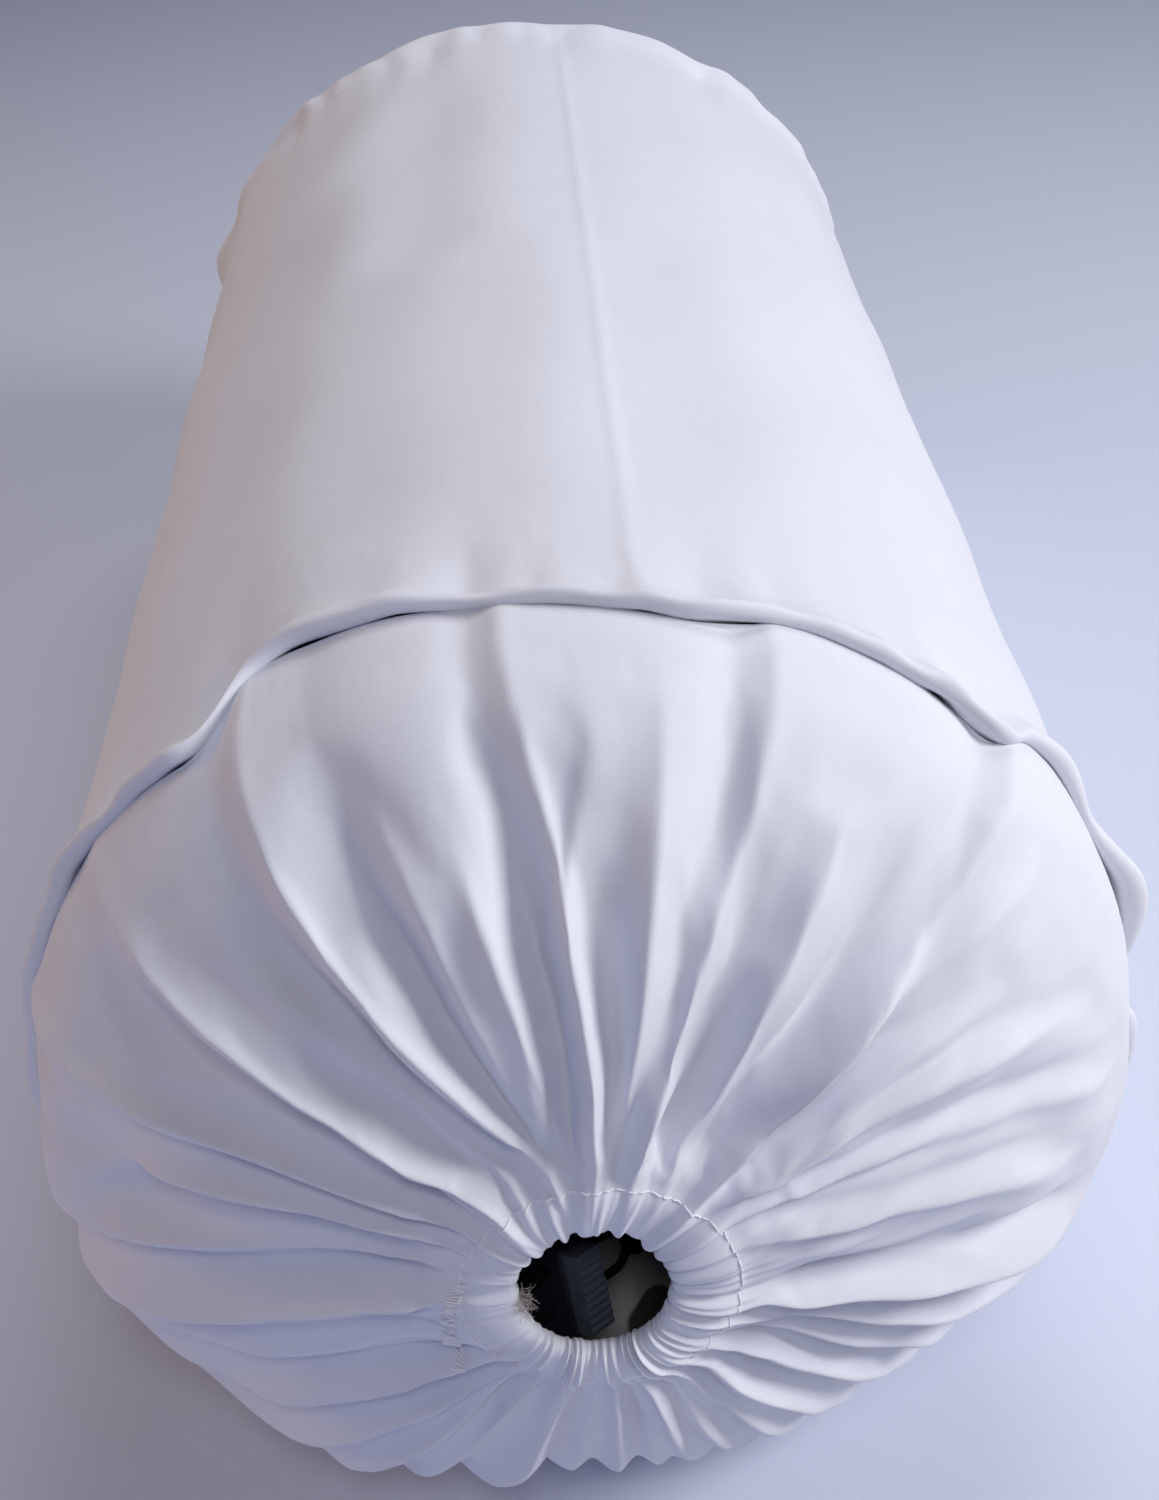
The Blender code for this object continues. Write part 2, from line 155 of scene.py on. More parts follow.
RIM_DENTS = (  # short creases that run back from the rim seam: angle, width, depth, length
    (98.5, 2.6, 0.0022, 0.030),
    (92.0, 1.6, 0.0014, 0.018),
    (75.0, 3.2, 0.0024, 0.034),
    (68.0, 2.2, 0.0012, 0.026),
    (84.0, 1.8, 0.0010, 0.016),
    (126.0, 3.5, 0.0030, 0.040),
    (45.0, 3.0, 0.0026, 0.036),
    (140.0, 3.2, 0.0014, 0.030),
)

# Folds of the end panel: angle at the rim, half way and at the mouth, size, and where each starts and ends
# on the way from the rim, 0, to the mouth, 1
RIDGES = (
    (122, 118, 98, 1.0, 0.00, 1.00),
    (95, 90, 89, 0.8, 0.00, 0.95),
    (86, 92, 93, 0.6, 0.15, 0.85),
    (104, 100, 96, 0.6, 0.30, 0.95),
    (69, 73, 77, 1.0, 0.03, 0.90),
    (41, 47, 49, 1.1, 0.00, 1.00),
    (31, 48, 56, 0.7, 0.08, 0.60),
    (8, 31, 43, 0.8, 0.22, 0.95),
    (144, 137, 125, 1.0, 0.06, 1.00),
    (165, 152, 138, 1.0, 0.00, 0.95),
    (182, 161, 150, 0.9, 0.25, 0.90),
    (133, 126, 115, 0.5, 0.35, 1.00),
    (155, 145, 131, 0.5, 0.30, 1.00),
    (188, 176, 164, 0.8, 0.05, 1.00),
    (196, 189, 181, 0.7, 0.10, 0.85),
    (59, 62, 64, 0.6, 0.20, 0.95),
    (80, 81, 84, 0.5, 0.10, 0.80),
    (111, 107, 102, 0.5, 0.20, 0.70),
    (24, 37, 44, 0.6, 0.35, 1.00),
    (358, 378, 395, 0.7, 0.15, 1.00),
    (350, 365, 382, 0.6, 0.30, 1.00),
    (208, 216, 222, 0.7, 0.25, 1.00),
    (219, 226, 231, 0.6, 0.15, 1.00),
    (230, 234, 236, 0.7, 0.20, 1.00),
    (241, 242, 243, 0.4, 0.10, 1.00),
    (251, 253, 255, 0.5, 0.05, 1.00),
    (310, 314, 318, 0.7, 0.10, 1.00),
    (318, 322, 326, 0.6, 0.20, 1.00),
    (262, 263, 264, 0.3, 0.05, 1.00),
    (269, 270, 271, 0.35, 0.00, 1.00),
    (276, 276, 277, 0.25, 0.10, 1.00),
    (281, 282, 283, 0.35, 0.00, 1.00),
    (290, 289, 290, 0.3, 0.10, 1.00),
    (296, 297, 297, 0.35, 0.05, 1.00),
    (303, 304, 306, 0.5, 0.05, 1.00),
    (328, 331, 334, 0.8, 0.10, 1.00),
    (341, 342, 344, 0.7, 0.15, 1.00),
)
VALLEYS = (
    (4, 17, 31, 0.6, 0.25, 1.0),
    (20, 30, 38, 0.4, 0.50, 1.0),
    (45, 44, 46, 0.9, 0.00, 1.0),
    (50, 55, 60, 1.0, 0.15, 1.0),
    (62, 65, 66, 0.4, 0.50, 1.0),
    (73, 70, 73, 1.0, 0.00, 1.0),
    (91, 86, 86, 0.8, 0.10, 1.0),
    (98, 95, 97, 0.9, 0.02, 1.0),
    (116, 112, 104, 0.9, 0.05, 1.0),
    (127, 124, 112, 0.8, 0.00, 1.0),
    (137, 131, 121, 0.4, 0.45, 1.0),
    (150, 145, 134, 1.0, 0.05, 1.0),
    (160, 156, 146, 0.5, 0.40, 1.0),
    (174, 168, 157, 0.9, 0.10, 1.0),
    (181, 174, 166, 0.8, 0.20, 1.0),
    (190, 182, 173, 0.9, 0.00, 1.0),
    (198, 198, 196, 0.5, 0.30, 0.9),
    (203, 209, 216, 0.8, 0.20, 1.0),
    (213, 220, 227, 1.0, 0.20, 1.0),
    (224, 230, 233, 0.5, 0.35, 1.0),
    (235, 237, 239, 0.8, 0.10, 1.0),
    (246, 246, 247, 0.5, 0.10, 1.0),
    (257, 259, 262, 0.7, 0.00, 1.0),
    (266, 267, 268, 0.35, 0.10, 1.0),
    (272, 273, 274, 0.45, 0.05, 1.0),
    (279, 279, 280, 0.3, 0.15, 1.0),
    (285, 285, 286, 0.45, 0.00, 1.0),
    (292, 292, 293, 0.35, 0.20, 1.0),
    (299, 299, 300, 0.5, 0.05, 1.0),
    (306, 309, 313, 0.7, 0.10, 1.0),
    (313, 318, 322, 0.8, 0.15, 1.0),
    (322, 326, 330, 0.8, 0.10, 1.0),
    (334, 335, 337, 0.7, 0.15, 1.0),
    (348, 349, 351, 0.7, 0.20, 1.0),
)
VALLEY_DEPTH = 0.0085
VALLEY_WIDTH = math.radians(4.0)
LOWER_VALLEYS = (262, 302)  # between these angles the gathers are finer
LOWER_VALLEY_SHARE = 0.60
RIDGE_HEIGHT = 0.0058
RIDGE_WIDTH = math.radians(1.5)
RIM_FOLD_SHARE = 0.42  # how deep the folds are at the rim
MOUTH_FOLD_LOSS = 0.45  # how much shallower they get towards the mouth
FOLD_WANDER = 0.022
STREAK_HEIGHT = 0.0007
LOWER_STREAK_HEIGHT = 0.0008
CASING_SHARE = 0.235  # the drawstring's casing lies inside this
CASING_PUFF = 0.0013
WIDE_PLEAT = 0.0012
FINE_PLEAT = 0.0002
LOWER_PLEAT = 0.0008
STRIP_WIDE_PLEAT = 0.0004
STRIP_FINE_PLEAT = 0.00025
HEM_TAB_ANGLE = math.radians(197)  # where the casing's hem lies flat beside the mouth
SIDE_BULGES = ((210, 42, 0.0085), (338, 30, 0.0040))  # angle, spread and size of the slack at the rim
LOWER_BULGE = 0.0065  # how far the gathered cloth hangs out over the floor
MOUTH_OFFSET = -0.0020  # the drawn-in mouth sits a little to the left
LOWER_LIP_PUSH = 0.0030  # and its lower lip stands further out

# Inner pillow
INNER_SLACK = 0.0115  # how far it stays behind the cover's dome, below the folds
LOOSE_SHARE = 0.60  # inside this share of the half width its case hangs in folds
CASE_FOLD = 0.0060
CASE_CREASE = 0.0050
FILLING_HOLLOW = 0.018  # how much deeper the filling is pressed in behind the folds
FILLING_HOLLOW_SHARE = 0.62

# Long seam
BODY_SEAM_ANGLE = math.radians(81.7)
SEAM_RIDGE = 0.0006
SEAM_HALF_WIDTH = 0.0016

# Stitches
CASING_STITCH_SHARE = 0.222
STITCH_PITCH = 0.0024
STITCH_LENGTH = 0.0019
THREAD_RADIUS = 0.00020
FRAYED_RADIUS = THREAD_RADIUS * 0.25
FRAYED_COUNT = 110
FRAYED_PLACE = Vector((-0.0180, -0.3098, 0.1118))
TACK_COUNT = 64
TACK_START_ANGLE = 172  # degrees
TACK_SWEEP = 51
TACK_START_SHARE = 0.215
TACK_SPREAD = 0.115
TACK_HALF_WIDTH = 0.0017

# Camera
CAMERA_PLACE = Vector((0.0022, -0.592, 0.446))
CAMERA_YAW = 0.004
CAMERA_PITCH = 0.605
CAMERA_ROLL = -0.076
CAMERA_LENS = 48.14

# Colours
FLOOR_COLOUR = (0.66, 0.70, 0.82)
COTTON_COLOUR = (0.78, 0.79, 0.86)
COTTON_SHADE = 0.90  # the darker threads, as a share of the colour
CASE_COLOUR = (0.46, 0.43, 0.43)
CASE_SHADE = 0.8
# painted shade: the dark brown colour given to the hollow low in the mouth, in place of the shade that falls
# there
PAINTED_SHADE_COLOUR = (0.055, 0.048, 0.040)
PAINTED_SHADE_PLACE = (0.0105, -0.2800, 0.0655)  # painted shade: a dark brown patch where the hollow beside the loose folds lies in shade, low in the mouth
PAINTED_SHADE_RADIUS = 0.0088
FIBRE_COLOUR = (0.82, 0.81, 0.79)
THREAD_COLOUR = (0.86, 0.86, 0.90)
FRAYED_COLOUR = (0.46, 0.41, 0.36)
HOUSING_COLOUR = (0.013, 0.015, 0.023)
# painted highlight: the button is a bluish grey, lighter than the housing's black, so that its ribs look lit
BUTTON_PAINTED_HIGHLIGHT_COLOUR = (0.072, 0.082, 0.108)
CORD_COLOUR = (0.006, 0.006, 0.008)
STEEL_COLOUR = (0.55, 0.55, 0.57)
SKY_COLOUR = (0.55, 0.58, 0.80)
SKY_STRENGTH = 0.155

FLOOR_SIZE = 6.0
LIGHTS = (  # name, place, what it points at, size, power, colour
    ("key", (1.10, -0.40, 0.85), (0.0, -0.12, 0.1), 0.5, 12.4, (1.0, 0.98, 0.97)),
    ("top", (0.30, 0.60, 1.5), (0.0, 0.1, 0.1), 1.0, 8.6, (0.86, 0.91, 1.0)),
    ("front", (0.05, -0.90, 0.95), (0.0, -0.29, 0.11), 0.25, 1.8, (0.94, 0.95, 1.0)),
    ("warm_side", (-1.3, 0.1, 0.50), (0.0, 0.0, 0.1), 0.8, 3.9, (1.0, 0.60, 0.22)),
    ("blue_low", (-0.65, -0.85, 0.10), (-0.04, -0.28, 0.05), 0.25, 0.55, (0.20, 0.32, 1.0)),
)

# Simulation
SETTLING_FRAMES = 16
LARGEST_MOVE = 0.004
PANEL_GROWTH = 0.008
BODY_GROWTH = 0.0015
BODY_HOLD = 0.45
WELT_ROWS = 9  # rows at each edge of the body that stay where they are


# ---------------------------------------------------------------- shape


def smoothstep(value, low, high):
    """0 at low, 1 at high, and smooth between."""
    t = np.clip((value - low) / (high - low), 0.0, 1.0)
    return t * t * (3.0 - 2.0 * t)


def dome_depth(share):
    """How far the bolster's end stands out past the rim, at a share of the half width."""
    inside = np.maximum(1.0 - np.abs(share) ** DOME_RADIAL_POWER, 0.0)
    return BULGE * inside ** (1.0 / DOME_DEPTH_POWER)


def dimple_depth(share):
    """How far the inner pillow's end is pressed in behind the mouth."""
    return DIMPLE_DEPTH * np.exp(-((share / DIMPLE_RADIUS) ** DIMPLE_POWER))


def around(angle, y, rise=0.0, scale=1.0, floor=0.0):
    """Points around the bolster at y: scaled, raised, and flattened where they meet the floor."""
    sine = np.sin(angle)
    half_height = np.where(sine > 0, HALF_RISE, HALF_SAG)
    x = (HALF_WIDTH * scale + rise) * np.cos(angle)
    z = AXIS_Z + (half_height * scale + rise) * sine
    return np.stack([x, np.broadcast_to(y, x.shape), np.maximum(z, floor)], axis=-1)


def turning_noise(angle, lengthwise, seed, low, high, drift=1.0):
    """Waves around the bolster whose phases wander along it. About -1 to 1."""
    rng = np.random.default_rng(seed)
    total = np.zeros(np.broadcast(angle, lengthwise).shape)
    frequencies = rng.integers(low, high + 1, 14)
    for frequency in frequencies:
        phase, swing, rate = rng.uniform(0, 2 * math.pi), rng.uniform(0.5, 1.6) * drift, rng.uniform(2, 7)
        total = total + np.cos(frequency * angle + phase + swing * np.sin(rate * lengthwise + phase))
    return total / 5.0


def wrapped(angle):
    """The angle brought to within half a turn of 0."""
    return (angle + math.pi) % (2 * math.pi) - math.pi


def fold_angle(fold, s):
    """The fold's angle on the way from the rim, 0, to the mouth, 1."""
    rim, middle, mouth = (math.radians(value) for value in fold[:3])
    return rim * (1 - s) * (1 - 2 * s) + middle * 4 * s * (1 - s) + mouth * s * (2 * s - 1)


def fold_reach(fold, s):
    """1 where the fold is, 0 beyond its two ends."""
    start, end = fold[4], fold[5]
    opening = smoothstep(s, start - 0.12, start + 0.10)
    return opening * (1.0 - smoothstep(s, end - 0.1, end + 0.12))


def seam_shift(angle):
    """How far the rim seam is drawn back, smooth and periodic."""
    degrees = np.degrees(angle) % 360
    degrees = np.where(degrees > 340, degrees - 360, degrees)
    total = 0
    offsets = np.linspace(-2.5, 2.5, 7)
    table = np.array(SEAM_SHIFT)
    for offset in offsets:
        total = total + np.interp(degrees + offset, table[:, 0], table[:, 1], left=0.0, right=0.0)
    return total / len(offsets)


def grid_normals(points):
    """Normals of a grid whose columns run around the bolster, outward when its rows run front to back."""
    along = np.gradient(points, axis=0)
    across = (np.roll(points, -1, axis=1) - np.roll(points, 1, axis=1)) / 2
    normal = np.cross(along, across)
    return normal / np.maximum(np.linalg.norm(normal, axis=-1, keepdims=True), 1e-12)


def grid_mesh(name, points, uv, material, flip=False):
    """A closed band of quads over the grid, with its cloth coordinates, in metres, as UVs."""
    rows, columns = points.shape[:2]
    data = bpy.data.meshes.new(name)
    index = np.arange(rows * columns).reshape(rows, columns)
    following = np.roll(index, -1, axis=1)
    quads = np.stack([index[:-1], following[:-1], following[1:], index[1:]], axis=-1).reshape(-1, 4)
    if flip:
        quads = quads[:, ::-1]
    data.from_pydata(points.reshape(-1, 3).tolist(), [], quads.tolist())
    layer = data.uv_layers.new(name="cloth")
    corner = np.concatenate([uv, uv[:, :1] + np.array([uv[0, 1, 0] - uv[0, 0, 0], 0]) * columns], axis=1)
    a, b, c, d = corner[:-1, :-1], corner[:-1, 1:], corner[1:, 1:], corner[1:, :-1]
    order = [d, c, b, a] if flip else [a, b, c, d]
    values = np.stack(order, axis=2).reshape(-1)
    layer.data.foreach_set("uv", values)
    data.shade_smooth()
    obj = bpy.data.objects.new(name, data)
    bpy.context.scene.collection.objects.link(obj)
    obj.data.materials.append(material)
    return obj


# ---------------------------------------------------------------- cloth


def cloth_modifier(obj, held, growth):
    """A cloth modifier. Held is 0 to 1 for each vertex, growth how much larger the cloth wants to be."""
    group = obj.vertex_groups.new(name="held")
    levels = np.round(held.reshape(-1), 2)
    for level in np.unique(levels):
        members = np.nonzero(levels == level)[0].tolist()
        group.add(members, float(level), "REPLACE")
    modifier = obj.modifiers.new("settle", "CLOTH")
    settings = modifier.settings
    settings.quality = 4
    settings.mass = 0.2
    settings.tension_stiffness = 12
    settings.compression_stiffness = 12
    settings.shear_stiffness = 6
    settings.bending_stiffness = 0.15
    settings.air_damping = 4
    settings.vertex_group_mass = "held"
    settings.pin_stiffness = 0.6
    settings.shrink_min = -growth
    settings.effector_weights.gravity = 0.0
    modifier.collision_settings.use_collision = False
    modifier.collision_settings.use_self_collision = False
    modifier.point_cache.frame_start = 1
    modifier.point_cache.frame_end = SETTLING_FRAMES


def settle(clothes):
    """Runs the cloth simulation for all the pieces at once and applies it."""
    scene = bpy.context.scene
    starts = {}
    for obj, held, growth in clothes:
        count = len(obj.data.vertices)
        start = np.empty(count * 3)
        obj.data.vertices.foreach_get("co", start)
        starts[obj.name] = start.reshape(-1, 3)
        cloth_modifier(obj, held, growth)
    scene.frame_start, scene.frame_end = 1, SETTLING_FRAMES
    for frame in range(1, SETTLING_FRAMES + 1):
        scene.frame_set(frame)
    graph = bpy.context.evaluated_depsgraph_get()
    settled = {}
    for obj, _, _ in clothes:
        mesh = obj.evaluated_get(graph).data
        place = np.empty(len(mesh.vertices) * 3)
        mesh.vertices.foreach_get("co", place)
        settled[obj.name] = place.reshape(-1, 3)
    for obj, _, _ in clothes:
        obj.modifiers.clear()
        obj.vertex_groups.clear()
        start = starts[obj.name]
        move = settled[obj.name] - start
        size = np.linalg.norm(move, axis=1, keepdims=True)
        move *= np.minimum(1.0, LARGEST_MOVE / np.maximum(size, 1e-9))
        place = start + move
        place[:, 2] = np.maximum(place[:, 2], 0.0002)
        obj.data.vertices.foreach_set("co", place.reshape(-1))
        obj.data.update()
    scene.frame_set(1)


def smooth_surface(obj):
    """One level of subdivision."""
    subdivide = obj.modifiers.new("smooth", "SUBSURF")
    subdivide.levels = 1
    subdivide.render_levels = 1
    return obj


# ---------------------------------------------------------------- end panel


def dome_profile():
    """Radius share and y along the panel from the rim to where it rolls in, at even steps of cloth."""
    share = np.cos(np.linspace(0, math.acos(MOUTH_SHARE), 400))
    y = RIM_Y + dome_depth(share)
    steps = np.hypot(np.diff(share) * HALF_WIDTH, np.diff(y))
    return share, y, np.concatenate([[0], np.cumsum(steps)])


def panel_rows():
    """Distances of the panel's rows from the rim, finer at both ends."""
    _, _, distance = dome_profile()
    total = distance[-1]
    near_rim = np.array([0.001, 0.003, 0.0055, 0.0085, 0.012])
    middle = np.linspace(0.016, total - 0.030, 26)
    near_mouth = total - 0.030 + 0.030 * np.linspace(0, 1, 15)[1:]
    return np.concatenate([near_rim, middle, near_mouth]), total


def fold_heights(angle, share):
    """The folds' height over the dome, in metres, at each point of the grid."""
    s = np.clip((1 - share) / (1 - MOUTH_SHARE), 0, 1)
    depth = RIM_FOLD_SHARE + (1.0 - RIM_FOLD_SHARE) * smoothstep(s, 0.0, 0.34)
    depth = depth * (1.0 - MOUTH_FOLD_LOSS * smoothstep(s, 0.70, 0.95))
    height = np.zeros(np.broadcast(angle, s).shape)
    wander = FOLD_WANDER * turning_noise(angle, s * 2, 5, 2, 9)
    for fold in VALLEYS:
        width = VALLEY_WIDTH * (1.0 + 0.15 * s)
        if LOWER_VALLEYS[0] < fold[0] < LOWER_VALLEYS[1]:
            width = width * LOWER_VALLEY_SHARE
        x = wrapped(angle + wander - fold_angle(fold, s)) / width
        height = height - VALLEY_DEPTH * fold[3] * fold_reach(fold, s) * np.exp(-np.abs(x) ** 1.6)
    for fold in RIDGES:
        width = RIDGE_WIDTH * (1.0 + 0.5 * s)
        x = wrapped(angle - fold_angle(fold, s)) / width
        crest = np.exp(-np.abs(x) ** 1.1) + 0.35 * np.exp(-((x / 3.2) ** 2))
        lee = 0.55 * np.exp(-((x - 2.4) ** 2) / 2.2)
        height = height + RIDGE_HEIGHT * fold[3] * fold_reach(fold, s) * (crest - lee)
    height = height * depth
    below = smoothstep(-np.sin(angle), -0.25, 0.75)
    streaks = turning_noise(angle, s * 2, 12, 14, 44, drift=1.2)
    streak_height = STREAK_HEIGHT + LOWER_STREAK_HEIGHT * below
    height = height + streak_height * streaks * smoothstep(s, 0.02, 0.35)
    for degrees, spread, size in SIDE_BULGES:
        window = np.exp(-((wrapped(angle - math.radians(degrees)) / math.radians(spread)) ** 4))
        height = height + size * window * smoothstep(s, -0.02, 0.10) * (1 - smoothstep(s, 0.25, 0.75))
    hanging = np.exp(-((wrapped(angle - math.radians(265)) / math.radians(48)) ** 4))
    height = height + LOWER_BULGE * hanging * np.sin(math.pi * np.clip(s * 1.12, 0, 1)) ** 1.2
    return in_casing(height, angle, share, below)


def round_mouth(points, angle):
    """Makes the mouth round where the dome is flat, a little to one side, its lower lip pushed out."""
    sine = np.sin(angle)
    half_height = np.where(sine > 0, HALF_RISE, HALF_SAG)
    share = np.hypot(points[..., 0] / HALF_WIDTH, (points[..., 2] - AXIS_Z) / half_height)
    near = 1 - smoothstep(share, 0.17, 0.45)
    closest = 1 - smoothstep(share, 0.13, 0.30)
    stretch = 1 + (HALF_WIDTH / half_height - 1) * near
    rounded = points.copy()
    rounded[..., 0] += MOUTH_OFFSET * closest
    rounded[..., 1] -= LOWER_LIP_PUSH * closest * smoothstep(-sine, 0.0, 1.0)
    rounded[..., 2] = AXIS_Z + (points[..., 2] - AXIS_Z) * stretch
    return rounded


def in_casing(height, angle, share, below):
    """Round the mouth the drawstring keeps the cloth out: the folds turn into small puffed pleats."""
    inside = 1 - smoothstep(share, CASING_SHARE - 0.02, CASING_SHARE + 0.10)
    wide = turning_noise(angle, share * 2, 13, 17, 31, drift=0.5)
    fine = turning_noise(angle, share * 3, 14, 52, 84, drift=0.6)
    pleats = wide * (1 - below) * WIDE_PLEAT + fine * (FINE_PLEAT + LOWER_PLEAT * below)
    across = np.clip((CASING_SHARE - share) / (CASING_SHARE - MOUTH_SHARE), 0, 1)
    puff = CASING_PUFF * np.sin(math.pi * across**0.8)
    tab = np.exp(-((wrapped(angle - HEM_TAB_ANGLE) / math.radians(17)) ** 4))
    pleats = pleats * (1 - 0.85 * tab)
    kept = np.maximum(0.50 * height * (1 - 0.7 * tab) + pleats + 0.0012, -0.0005) + puff
    near = 1 - smoothstep(share, 0.24, 0.60)
    return height * (1 - inside) + kept * inside + 0.6 * fine * 0.0006 * near * (1 - inside)


def panel_grid(shift_share):
    """Points and cloth coordinates of a front end panel, from under the welt to inside the mouth."""
    angle = np.arange(COLUMNS) * 2 * math.pi / COLUMNS
    shift = seam_shift(angle) * shift_share
    rows, total = panel_rows()
    share_table, y_table, distance_table = dome_profile()
    points, cloth = [], []
    for behind, rise, _ in PANEL_ENTRY:
        y = -(BODY_EDGE_Y - shift) + behind
        points.append(around(angle, y, rise, floor=0.0012))
        cloth.append(-behind)
    for row in rows:
        distance = row - (shift + 0.0005) * (1 - row / total) ** 3
        on_dome = np.maximum(distance, 0)
        share = np.interp(on_dome, distance_table, share_table)
        y = -np.interp(on_dome, distance_table, y_table) - np.minimum(distance, 0)
        flat = around(angle, y, 0.0, share, floor=0.0008)
        points.append(flat)
        cloth.append(row)
    base = np.stack(points)
    for i, (radius, y) in enumerate(LIP_ROLL):
        lip = around(angle, -y, 0.0, radius / HALF_WIDTH)
        base = np.concatenate([base, lip[None]])
        cloth.append(total + 0.001 * (i + 1))
    normal = -grid_normals(base)
    share = np.hypot(base[..., 0] / HALF_WIDTH, (base[..., 2] - AXIS_Z) / HALF_RISE)
    share[: len(PANEL_ENTRY)] = 1.0
    height = fold_heights(angle[None, :], np.minimum(share, 1.0))
    taper = np.ones(len(base))
    taper[: len(PANEL_ENTRY)] = [share for _, _, share in PANEL_ENTRY]
    taper[-len(LIP_TAPER) :] = LIP_TAPER
    moved = round_mouth(base, angle) + normal * (height * taper[:, None])[..., None]
    moved[..., 2] = np.maximum(moved[..., 2], 0.0008)
    u = np.broadcast_to(np.arange(COLUMNS) * 2 * math.pi * HALF_WIDTH / COLUMNS, base.shape[:2])
    v = np.broadcast_to(np.array(cloth)[:, None], base.shape[:2])
    return moved, np.stack([u, v], axis=-1)


def panel_hold(rows):
    """How hard each row is held: the rim seam and the mouth fast, the rest only softly."""
    hold = np.full((rows, COLUMNS), 0.12)
    hold[:5] = 1.0
    hold[5:9] = 0.6
    hold[-14:] = 0.5
    hold[-8:] = 1.0
    return hold


# ---------------------------------------------------------------- body panel


def body_grid():
    """Points and cloth coordinates of the cover's body, from one welt to the other."""
    angle = np.arange(COLUMNS) * 2 * math.pi / COLUMNS
    half = [behind for behind, _ in WELT_PROFILE]
    rises = [rise for _, rise in WELT_PROFILE]
    inner = np.concatenate([[0.030, 0.037, 0.045], np.linspace(0.055, BODY_EDGE_Y, 15)])
    rows = []
    for end, side in (("front", -1), ("rear", 1)):
        turned = angle if side < 0 else math.pi - angle
        shift = seam_shift(turned) * SHIFT_SHARES[end]
        wave = turning_noise(turned, 0.0, 21, 7, 24)
        pucker = turning_noise(turned, 0.0, 22, 18, 60)
        lumps = turning_noise(turned, 0.3, 23, 2, 6)
        made = []
        for behind, rise in list(zip(half, rises)) + [(value, 0.0) for value in inner]:
            fade = 1 - smoothstep(behind, 0.010, SHIFT_FADE)
            y = side * (BODY_EDGE_Y - shift * fade - behind)
            under = 1 - 0.8 * smoothstep(-np.sin(turned), 0.6, 0.97)
            lip = rise * (1.0 + WELT_WAVE * wave) * under * WELT_SHARES[end] if rise > 0.0 else rise
            crease = RIM_PUCKER * pucker * math.exp(-max(behind - 0.002, 0) / 0.016)
            crease = crease * min(behind / 0.002 + 0.4, 1)
            sway = WELT_SWAY * WELT_SHARES[end] * wave * math.exp(-max(behind, 0) / 0.030)
            sway = sway * (0.4 + 0.6 * abs(lumps))
            soft = BODY_WAVES * turning_noise(turned, behind * 9, 24, 2, 9)
            soft = soft * smoothstep(behind, 0.0, 0.05)
            long_folds = BODY_FOLDS * turning_noise(turned, behind * 5, 25, 6, 20)
            long_folds = long_folds * smoothstep(behind, 0.01, 0.09)
            dents = rim_dents(turned, behind)
            lip = lip + (crease + sway + soft + long_folds + dents) * under
            seam = wrapped(angle - BODY_SEAM_ANGLE) * HALF_WIDTH / SEAM_HALF_WIDTH
            lip = lip + SEAM_RIDGE * np.exp(-(seam**2)) * min(max(behind / 0.004, 0), 1)
            made.append((around(angle, y, lip, floor=0.0004), behind))
        rows.append(made)
    front, rear = rows
    blended = [point for point, _ in front[:-1]]
    middle = (front[-1][0] + rear[-1][0]) / 2
    blended.append(middle)
    blended += [point for point, _ in rear[:-1][::-1]]
    cloth = [-BODY_EDGE_Y + behind for _, behind in front[:-1]] + [0.0]
    cloth += [BODY_EDGE_Y - behind for _, behind in rear[:-1][::-1]]
    points = np.stack(blended)
    u = np.broadcast_to(angle * HALF_WIDTH, points.shape[:2])
    v = np.broadcast_to(np.array(cloth)[:, None], points.shape[:2])
    return points, np.stack([u, v], axis=-1)


def rim_dents(angle, behind):
    """The height of the short creases behind the rim seam."""
    total = 0
    for degrees, width, depth, length in RIM_DENTS:
        x = wrapped(angle - math.radians(degrees)) / math.radians(width)
        along = smoothstep(behind, 0.0, 0.006) * np.exp(-((behind / length) ** 2))
        total = total - depth * np.exp(-(x**2)) * along
    return total


def casing_grid():
    """The casing's strip: from just inside the mouth's lip, back and out to where it is sewn to the panel."""
    angle = np.arange(COLUMNS) * 2 * math.pi / COLUMNS
    below = smoothstep(-np.sin(angle), -0.25, 0.75)
    wide = turning_noise(angle, 0.4, 13, 17, 31, drift=0.5)
    fine = turning_noise(angle, 0.5, 14, 52, 84, drift=0.6)
    pleats = wide * (1 - below) * STRIP_WIDE_PLEAT + fine * STRIP_FINE_PLEAT
    points = []
    for radius, y, share in CASING_STRIP:
        ring = around(angle, -y, 0.0, radius / HALF_WIDTH)
        ring[:, 1] += pleats * share
        points.append(round_mouth(ring, angle))
    base = np.stack(points)
    u = np.broadcast_to(angle * HALF_WIDTH, base.shape[:2])
    v = np.broadcast_to(np.array([radius for radius, _, _ in CASING_STRIP])[:, None], base.shape[:2])
    return base, np.stack([u, v], axis=-1)


# ---------------------------------------------------------------- inner pillow


